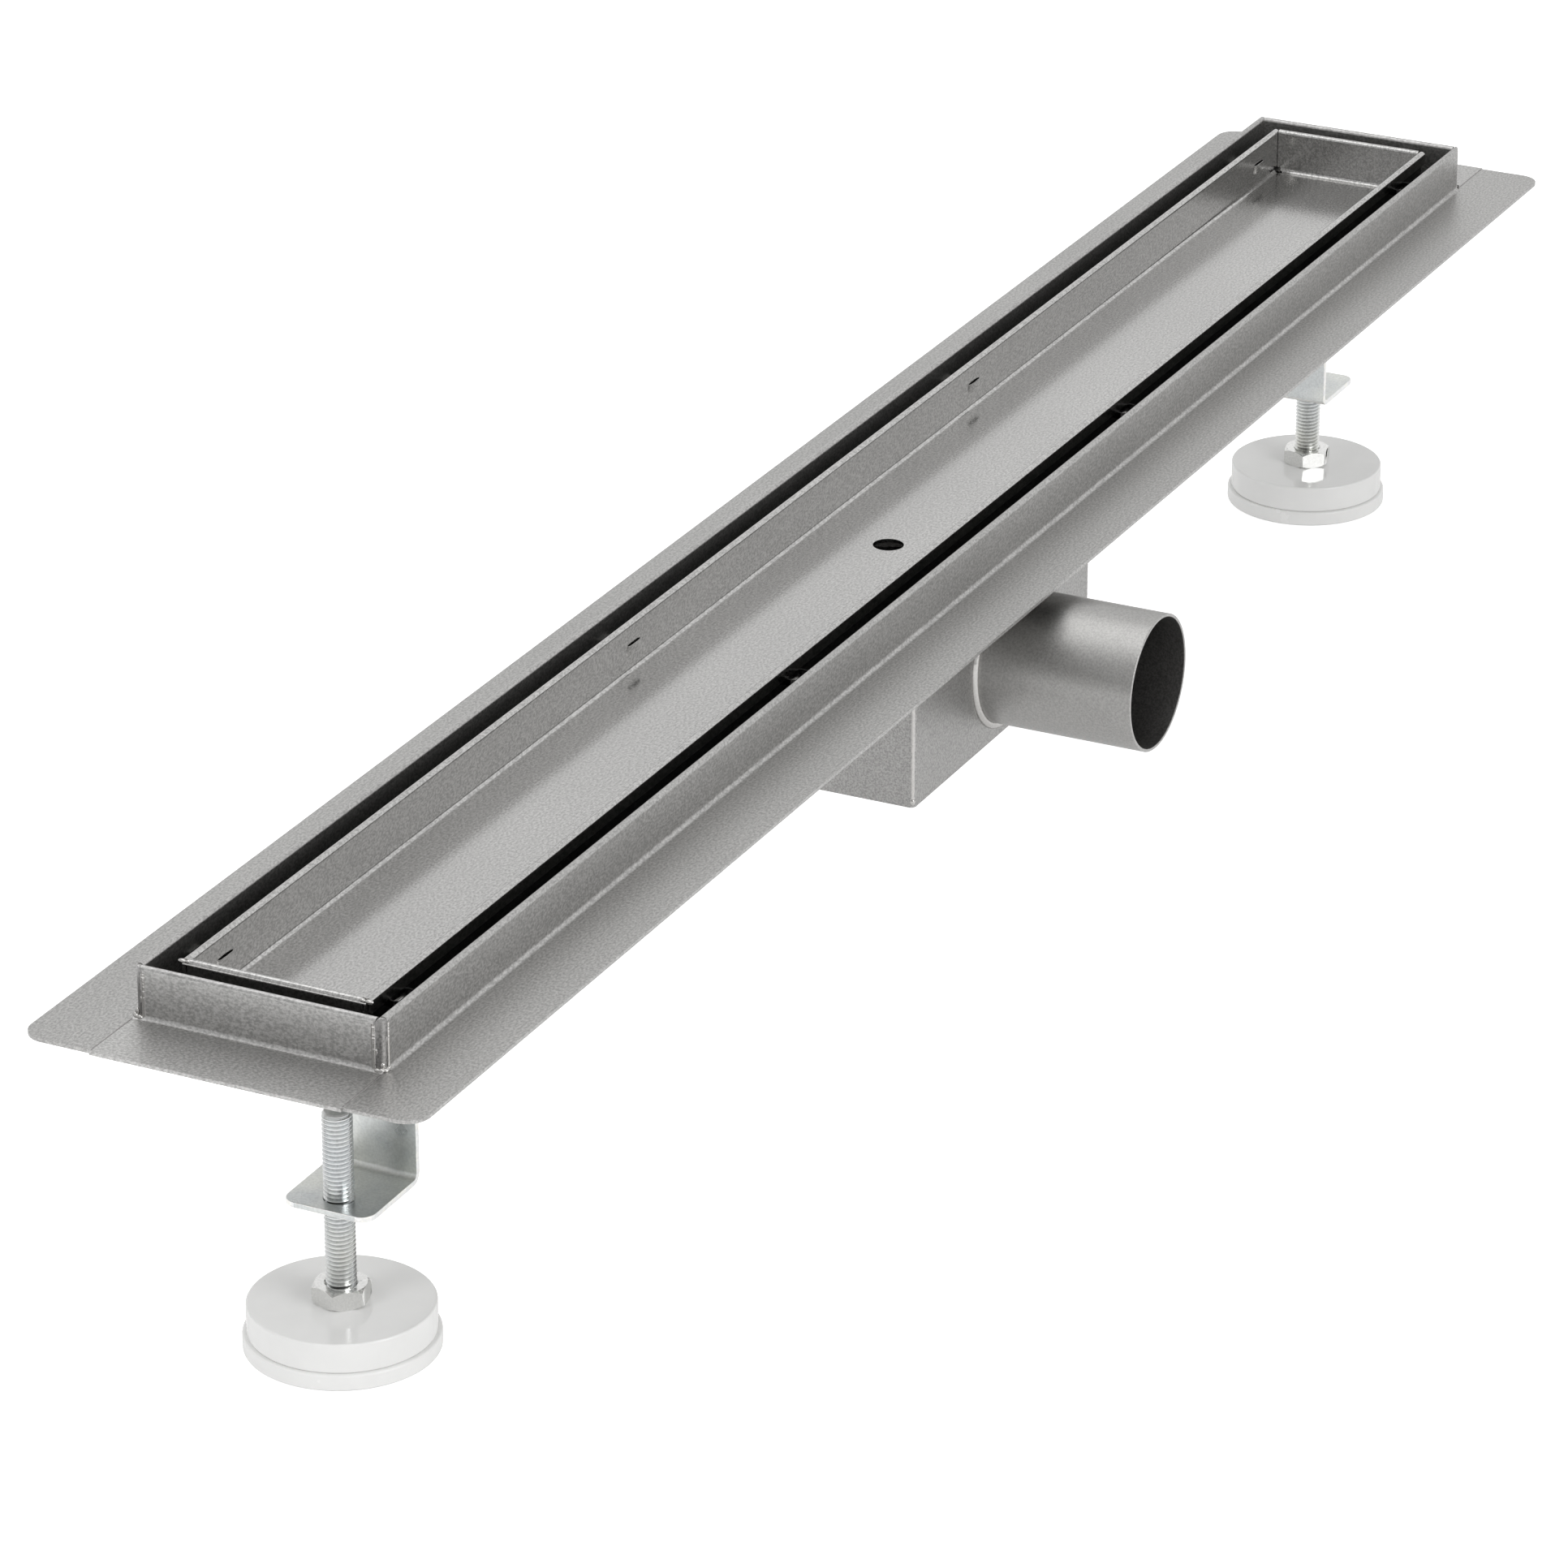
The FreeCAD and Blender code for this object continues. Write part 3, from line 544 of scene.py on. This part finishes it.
tube = wear(outlet_tube(), pipe_steel)
# Painted shade inside the bore: its inner faces take the darker steel
tube.data.materials.append(bore_shade_steel)
for face in tube.data.polygons:
    from_axis = math.hypot(face.center.x, face.center.z - OUTLET_HEIGHT)
    face.material_index = 1 if from_axis < OUTLET_RADIUS - 1.1 * MM else 0
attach(tube, "drain")
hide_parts("outlet_pipe")


# Welds

def weld_bead(name, start, end, radius, dip, unevenness):
    """Run of overlapping weld ripples from start to end, closed at both ends."""
    start, end = Vector(start), Vector(end)
    run = end - start
    count = max(3, round(run.length / (0.62 * radius)))
    step = run.length / count
    size = 0.5 * radius
    height = 0.0
    deselect_all()
    bpy.ops.mesh.primitive_circle_add(vertices=14, radius=size, fill_type="NGON",
                                      location=(0, 0, 0))
    piece = named(bpy.context.object, name)
    edit(piece)
    for ripple in range(count):
        wide = radius * random.uniform(1 - unevenness, 1 + unevenness)
        last = radius * 0.5 if ripple == count - 1 else wide * (1 - dip)
        for share, wanted in ((0.3, wide * (1 - dip / 3)), (0.4, wide), (0.3, last)):
            bpy.ops.mesh.extrude_region_move(
                TRANSFORM_OT_translate={"value": (0, 0, step * share)})
            height += step * share
            bpy.ops.transform.resize(value=(wanted / size, wanted / size, 1),
                                     center_override=(0, 0, height))
            size = wanted
    leave_edit()
    close_up(piece)
    piece.rotation_euler = run.to_track_quat("Z", "Y").to_euler()
    piece.location = start
    return smooth(settle(piece), 50)


def weld_drop(place, half_sizes):
    """Frozen drop of weld metal, with its half sizes in millimetres."""
    deselect_all()
    bpy.ops.mesh.primitive_ico_sphere_add(subdivisions=3, radius=MM, location=place)
    drop = bpy.context.object
    drop.scale = half_sizes
    return settle(drop)


def joined(name, pieces):
    deselect_all()
    for piece in pieces:
        piece.select_set(True)
    bpy.context.view_layer.objects.active = pieces[0]
    bpy.ops.object.join()
    return smooth(named(bpy.context.object, name), 50)


def welded_on(piece, material=weld_steel):
    wear(piece, material)
    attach(piece, "drain")


# Drops of weld on each near corner of the upstand, in millimetres: place inwards from the
# corner along X and Y and up, then half sizes
CORNER_DROPS = (
    (0.4, 0.9, 0.5, 1.2, 1.1, 0.9),
    (1.4, -0.1, 0.4, 1.3, 1.0, 0.8),
    (-0.1, 2.2, 0.5, 0.9, 1.1, 0.8),
    (0.9, 0.8, 1.9, 0.8, 0.8, 1.1),
    (3.3, 0.1, 0.4, 1.1, 0.8, 0.7),
    (0.5, 2.7, 6.4, 0.5, 0.55, 1.7),
    (2.9, 0.45, 10.2, 0.55, 0.5, 1.9),
)
CORNER_BEAD_RADIUS = 0.85 * MM
CORNER_BEAD_INSET = 0.55 * MM
FLANGE_SEAM_RADIUS = 0.42 * MM
FLANGE_SEAM_HEIGHT = -0.30 * MM
BOX_SEAM_RADIUS = 0.85 * MM
BOX_SEAM_INSET = 1.05 * MM


def weld_upstand_corner(end, side):
    """Drops at the foot of the corner, and a bead up each end of its rounding."""
    x_sign, y_sign = ENDS[end], SIDES[side]
    corner_x, corner_y = x_sign * UPSTAND_HALF_LENGTH, y_sign * UPSTAND_HALF_WIDTH
    welds = [
        weld_drop((corner_x - x_sign * x * MM, corner_y - y_sign * y * MM, z * MM), half_sizes)
        for x, y, z, *half_sizes in CORNER_DROPS]
    top = UPSTAND_HEIGHT - 1.9 * MM
    for x, y in ((CORNER_BEAD_INSET, UPSTAND_CORNER), (UPSTAND_CORNER, CORNER_BEAD_INSET)):
        bead_x, bead_y = corner_x - x_sign * x, corner_y - y_sign * y
        welds.append(weld_bead("bead", (bead_x, bead_y, 0), (bead_x, bead_y, top),
                               CORNER_BEAD_RADIUS, dip=0.01, unevenness=0.03))
    welded_on(joined(f"corner_weld_{end}_{side}", welds))


def weld_tray_corner(end, side):
    """Two small drops on the corner of the tray's rim."""
    x_sign, y_sign = ENDS[end], SIDES[side]
    x = x_sign * (TRAY_HALF_LENGTH - 0.9 * MM)
    y = y_sign * (TRAY_HALF_WIDTH - 0.5 * MM)
    welded_on(joined(f"tray_corner_weld_{end}_{side}", [
        weld_drop((x, y, TRAY_HEIGHT - 0.9 * MM), (0.9, 1.6, 0.8)),
        weld_drop((x + x_sign * 0.1 * MM, y - y_sign * 2.2 * MM, TRAY_HEIGHT - 0.7 * MM),
                  (0.8, 1.0, 0.7))]))


def weld_flange_seam(end, side):
    """Thin seam between the end plate's flange and the channel's."""
    x_sign, y = ENDS[end], SIDES[side] * UPSTAND_HALF_WIDTH
    start = (x_sign * (UPSTAND_HALF_LENGTH + 0.5 * MM), y, FLANGE_SEAM_HEIGHT)
    stop = (x_sign * (FLANGE_HALF_LENGTH - 0.4 * MM), y, FLANGE_SEAM_HEIGHT)
    seam = weld_bead(f"flange_seam_{end}_{side}", start, stop, FLANGE_SEAM_RADIUS, dip=0.08,
                     unevenness=0.06)
    welded_on(seam, seam_steel)


def weld_box_edge(end, side):
    """Seam up an edge of the waste box, with a drop at its foot."""
    x_sign, y_sign = ENDS[end], SIDES[side]
    x = x_sign * (BOX_HALF_LENGTH - BOX_SEAM_INSET)
    y = y_sign * (BOX_HALF_WIDTH - BOX_SEAM_INSET)
    seam = weld_bead("seam", (x, y, BOX_BOTTOM + 0.9 * MM), (x, y, -1.6 * MM),
                     BOX_SEAM_RADIUS, dip=0.05, unevenness=0.05)
    drop = weld_drop((x + x_sign * 0.3 * MM, y + y_sign * 0.3 * MM, BOX_BOTTOM + 2 * MM),
                     (0.9, 0.9, 1.4))
    welded_on(joined(f"box_seam_{end}_{side}", [seam, drop]))


random.seed(7)
for end in ENDS:
    for side in SIDES:
        if end == "near":
            weld_upstand_corner(end, side)
            weld_tray_corner(end, side)
        weld_flange_seam(end, side)
        weld_box_edge(end, side)


def outlet_weld():
    """Rippled ring of weld round the root of the outlet tube."""
    segments = 216
    deselect_all()
    bpy.ops.mesh.primitive_torus_add(
        major_segments=segments, minor_segments=12, major_radius=OUTLET_RADIUS + 0.4 * MM,
        minor_radius=1.9 * MM, location=(0, 0, 0))
    ring = named(bpy.context.object, "outlet_weld")
    edit(ring)
    bpy.ops.mesh.select_all(action="DESELECT")
    leave_edit()
    for point in ring.data.vertices:
        turn = math.atan2(point.co.y, point.co.x) % FULL_TURN
        point.select = round(turn / FULL_TURN * segments) % 3 == 0
    edit(ring, everything=False)
    bpy.ops.transform.shrink_fatten(value=-0.05 * MM)
    leave_edit()
    ring.rotation_euler = (math.pi / 2, 0, 0)
    ring.location = (0, -BOX_HALF_WIDTH, OUTLET_HEIGHT)
    return smooth(settle(ring), 60)


# Tray: closed windows beside the tabs, and the rounded lip at both ends of its rim

def tab_pocket(name, x, y_sign):
    """Shallow dished strip that closes a window of the tray's wall, just outside it."""
    pocket = profile_line(name, [
        (-POCKET_HALF_LENGTH, 0), (-POCKET_HALF_FLAT, POCKET_DEPTH), (0, POCKET_DEPTH * 1.15),
        (POCKET_HALF_FLAT, POCKET_DEPTH), (POCKET_HALF_LENGTH, 0)])
    edit(pocket)
    bpy.ops.mesh.extrude_region_move(TRANSFORM_OT_translate={"value": (0, POCKET_HEIGHT, 0)})
    leave_edit()
    use_modifier(pocket, "SOLIDIFY", thickness=POCKET_SHEET, offset=0.0)
    close_up(pocket)
    pocket.rotation_euler = (math.pi / 2, 0, 0)
    settle(pocket)
    if y_sign < 0:
        pocket.rotation_euler = (0, 0, math.pi)
    y = y_sign * (TRAY_HALF_WIDTH - TRAY_RIM + 0.15 * MM)
    pocket.location = (x, y, TAB_HEIGHT - POCKET_HEIGHT / 2)
    settle(pocket)
    return round_edges(pocket, 0.1 * MM, segments=2, angle=50)


def rim_lip(end):
    x = ENDS[end] * (TRAY_HALF_LENGTH - 0.05 * MM)
    y = TRAY_HALF_WIDTH - 1.0 * MM
    z = TRAY_HEIGHT - 1.4 * MM
    return weld_bead(f"rim_lip_{end}", (x, -y, z), (x, y, z), 0.36 * MM, dip=0.0, unevenness=0.0)


for end, x_sign in ENDS.items():
    for side, y_sign in SIDES.items():
        for where, station in TAB_STATIONS.items():
            pocket = tab_pocket(f"tab_pocket_{end}_{side}_{where}", x_sign * station, y_sign)
            welded_on(pocket, tray_steel)
    welded_on(rim_lip(end), tray_steel)
welded_on(outlet_weld())


# Brackets and end plates: copies of the solids with rounded edges

def bare_copy(node, name):
    """Copy of a solid's mesh without its flat faces' inner edges or its own normals."""
    deselect_all()
    piece = copied(nodes[node], name)
    piece.parent = None
    for key in list(piece.keys()):
        del piece[key]
    edit(piece)
    bpy.ops.mesh.remove_doubles(threshold=1e-6)
    bpy.ops.mesh.select_all(action="SELECT")
    bpy.ops.mesh.dissolve_limited(angle_limit=math.radians(0.5))
    leave_edit()
    bpy.ops.mesh.customdata_custom_splitnormals_clear()
    return piece


def is_sheared(face):
    """True on the strip's cut edges, the leg's rounded end among them."""
    low = face.center.z < BRACKET_LEG_TOP - 0.1 * MM
    leg_edge = low and abs(face.normal.x) > 0.3 and face.area < 3e-5
    return abs(face.normal.y) > 0.3 or leg_edge


for end in ENDS:
    plate = bare_copy(f"bracket_{end}", f"mounting_bracket_{end}")
    round_edges(plate, 0.28 * MM, segments=2, angle=50)
    wear(plate, zinc_plate)
    # The cut edges take the lighter zinc, which carries a painted glint
    plate.data.materials.append(cut_edge_glint_zinc)
    for face in plate.data.polygons:
        face.material_index = 1 if is_sheared(face) else 0
    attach(plate, "drain")
    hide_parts(f"bracket_{end}")


def corner_cutter(x_sign, y_sign):
    """Block outside the rounded corner of the upstand, above its fold."""
    low, high = 1.1 * MM, UPSTAND_HEIGHT + 2 * MM
    centre_x = x_sign * (UPSTAND_HALF_LENGTH - UPSTAND_CORNER)
    centre_y = y_sign * (UPSTAND_HALF_WIDTH - UPSTAND_CORNER)
    side = UPSTAND_CORNER + 2 * MM
    deselect_all()
    bpy.ops.mesh.primitive_cube_add(
        size=1, scale=(side, side, high - low),
        location=(centre_x + x_sign * side / 2, centre_y + y_sign * side / 2, (low + high) / 2))
    block = settle(named(bpy.context.object, "block"))
    deselect_all()
    bpy.ops.mesh.primitive_cylinder_add(
        vertices=96, radius=UPSTAND_CORNER, depth=2 * high, location=(centre_x, centre_y, high / 2))
    core = settle(named(bpy.context.object, "core"))
    return cut_with(block, core, "DIFFERENCE")


def is_shaded_corner(face):
    """True on the rounded corners of the upstand, between their two weld beads, where a dark
    reflection is painted.
    """
    reach = UPSTAND_CORNER - 0.3 * MM
    in_x = abs(face.center.x) > UPSTAND_HALF_LENGTH - reach
    in_y = abs(face.center.y) > UPSTAND_HALF_WIDTH - reach
    return in_x and in_y and abs(face.normal.z) < 0.3 and face.center.z > MM


for end, x_sign in ENDS.items():
    plate = bare_copy(f"end_plate_{end}", f"end_sheet_{end}")
    for y_sign in SIDES.values():
        cut_with(plate, corner_cutter(x_sign, y_sign), "DIFFERENCE")
    round_edges(plate, 0.2 * MM, segments=2, angle=60)
    wear(plate, end_steel)
    plate.data.materials.append(corner_shade_steel)
    for face in plate.data.polygons:
        # Painted dark reflection on the near end's rounded corners, between the weld beads
        face.material_index = 1 if end == "near" and is_shaded_corner(face) else 0
    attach(plate, "drain")
    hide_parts(f"end_plate_{end}")


# Camera, lights and stage

CAMERA_PLACE = (-2.136083, -1.000270, 0.961603)
CAMERA_RIGHT = (0.439066, -0.898453, 0.001855)
CAMERA_DOWN = (-0.366324, -0.180904, -0.912732)
CAMERA_FORWARD = (0.820383, 0.400070, -0.408553)
CAMERA_LENS = 163.05
CAMERA_SENSOR = 36.0

# Name, place, width and length in metres, watts, whether metal mirrors it
SOFTBOXES = (
    ("key_light", (-0.7, -2.3, 1.1), (1.4, 1.0), 20.0, True),
    ("fill_light", (-2.4, 0.9, 1.3), (1.2, 1.2), 15.0, False),
    ("top_light", (-0.2, 0.3, 1.9), (2.6, 1.4), 11.0, True),
)

AMBIENT = 0.65
MIRRORED_RANGE = (1.0, 0.62)
PHOTOGRAPHER_SIDE = (-0.90, 0.35, 0.0)
FLOOR_WHITE = 0.88
FLOOR_GLOW = {"Is Camera Ray": 0.62, "Is Glossy Ray": 0.25, "Is Transmission Ray": 0.25}


def make_camera():
    """Camera fitted to the photograph."""
    data = bpy.data.cameras.new("camera")
    camera = bpy.data.objects.new("camera", data)
    bpy.context.scene.collection.objects.link(camera)
    data.sensor_width = CAMERA_SENSOR
    data.lens = CAMERA_LENS
    data.clip_end = 50.0
    axes = (Vector(CAMERA_RIGHT), -Vector(CAMERA_DOWN), -Vector(CAMERA_FORWARD))
    turn = Matrix(axes).transposed().to_4x4()
    camera.matrix_world = Matrix.Translation(Vector(CAMERA_PLACE)) @ turn
    bpy.context.scene.camera = camera


def softbox(name, place, size, power, mirrored):
    """Soft light that points at the middle of the drain."""
    data = bpy.data.lights.new(name, "AREA")
    data.shape = "RECTANGLE"
    data.size, data.size_y = size
    data.energy = power
    lamp = bpy.data.objects.new(name, data)
    bpy.context.scene.collection.objects.link(lamp)
    lamp.location = place
    lamp.rotation_euler = (-Vector(place)).to_track_quat("-Z", "Y").to_euler()
    lamp.visible_glossy = mirrored


def ray_share(tree, shares):
    """Sum of the given ray kinds, each times its share."""
    rays = tree.nodes.new("ShaderNodeLightPath")
    total = 0.0
    for kind, share in shares.items():
        total = computed(tree, "ADD", total, computed(tree, "MULTIPLY", rays.outputs[kind], share))
    return total


def mixed_shaders(tree, share, first, second):
    mix = tree.nodes.new("ShaderNodeMixShader")
    for socket, source in zip(mix.inputs, (share, first, second)):
        tree.links.new(source, socket)
    return mix.outputs[0]


def make_world():
    """White all round to the camera; metal mirrors it greyer on the photographer's side."""
    world = bpy.data.worlds.new("studio")
    world.use_nodes = True
    tree = world.node_tree
    ambient = tree.nodes["Background"]
    ambient.inputs["Color"].default_value = (AMBIENT, AMBIENT, AMBIENT, 1)
    place = tree.nodes.new("ShaderNodeTexCoord")
    side = tree.nodes.new("ShaderNodeVectorMath")
    side.operation = "DOT_PRODUCT"
    side.inputs[1].default_value = PHOTOGRAPHER_SIDE
    tree.links.new(place.outputs["Generated"], side.inputs[0])
    fall = map_range(tree, side.outputs["Value"], (-0.9, 0.9), MIRRORED_RANGE)
    mirrored = tree.nodes.new("ShaderNodeBackground")
    tree.links.new(fall, mirrored.inputs["Color"])
    white = tree.nodes.new("ShaderNodeBackground")
    white.inputs["Color"].default_value = (1, 1, 1, 1)
    in_metal = ray_share(tree, {"Is Glossy Ray": 1.0, "Is Transmission Ray": 1.0})
    to_camera = ray_share(tree, {"Is Camera Ray": 1.0})
    unseen = mixed_shaders(tree, in_metal, ambient.outputs[0], mirrored.outputs[0])
    studio = mixed_shaders(tree, to_camera, unseen, white.outputs[0])
    tree.links.new(studio, tree.nodes["World Output"].inputs["Surface"])
    bpy.context.scene.world = world


def make_floor():
    """White floor that keeps a soft shadow, and lets a camera below it look through."""
    deselect_all()
    bpy.ops.mesh.primitive_plane_add(size=30, location=(0, 0, GROUND - 0.1 * MM))
    floor = settle(named(bpy.context.object, "studio_floor"))
    material, tree, shader = new_material("floor_white")
    shader.inputs["Base Color"].default_value = (FLOOR_WHITE, FLOOR_WHITE, FLOOR_WHITE, 1)
    shader.inputs["Roughness"].default_value = 0.9
    shader.inputs["Specular IOR Level"].default_value = 0.0
    shader.inputs["Emission Color"].default_value = (1, 1, 1, 1)
    tree.links.new(ray_share(tree, FLOOR_GLOW), shader.inputs["Emission Strength"])
    under = tree.nodes.new("ShaderNodeNewGeometry").outputs["Backfacing"]
    clear = tree.nodes.new("ShaderNodeBsdfTransparent")
    surface = mixed_shaders(tree, under, shader.outputs[0], clear.outputs[0])
    tree.links.new(surface, tree.nodes["Material Output"].inputs["Surface"])
    wear(floor, material)


make_camera()
make_world()
make_floor()
for name, place, size, power, mirrored in SOFTBOXES:
    softbox(name, place, size, power, mirrored)
bpy.context.scene.view_settings.view_transform = "Standard"
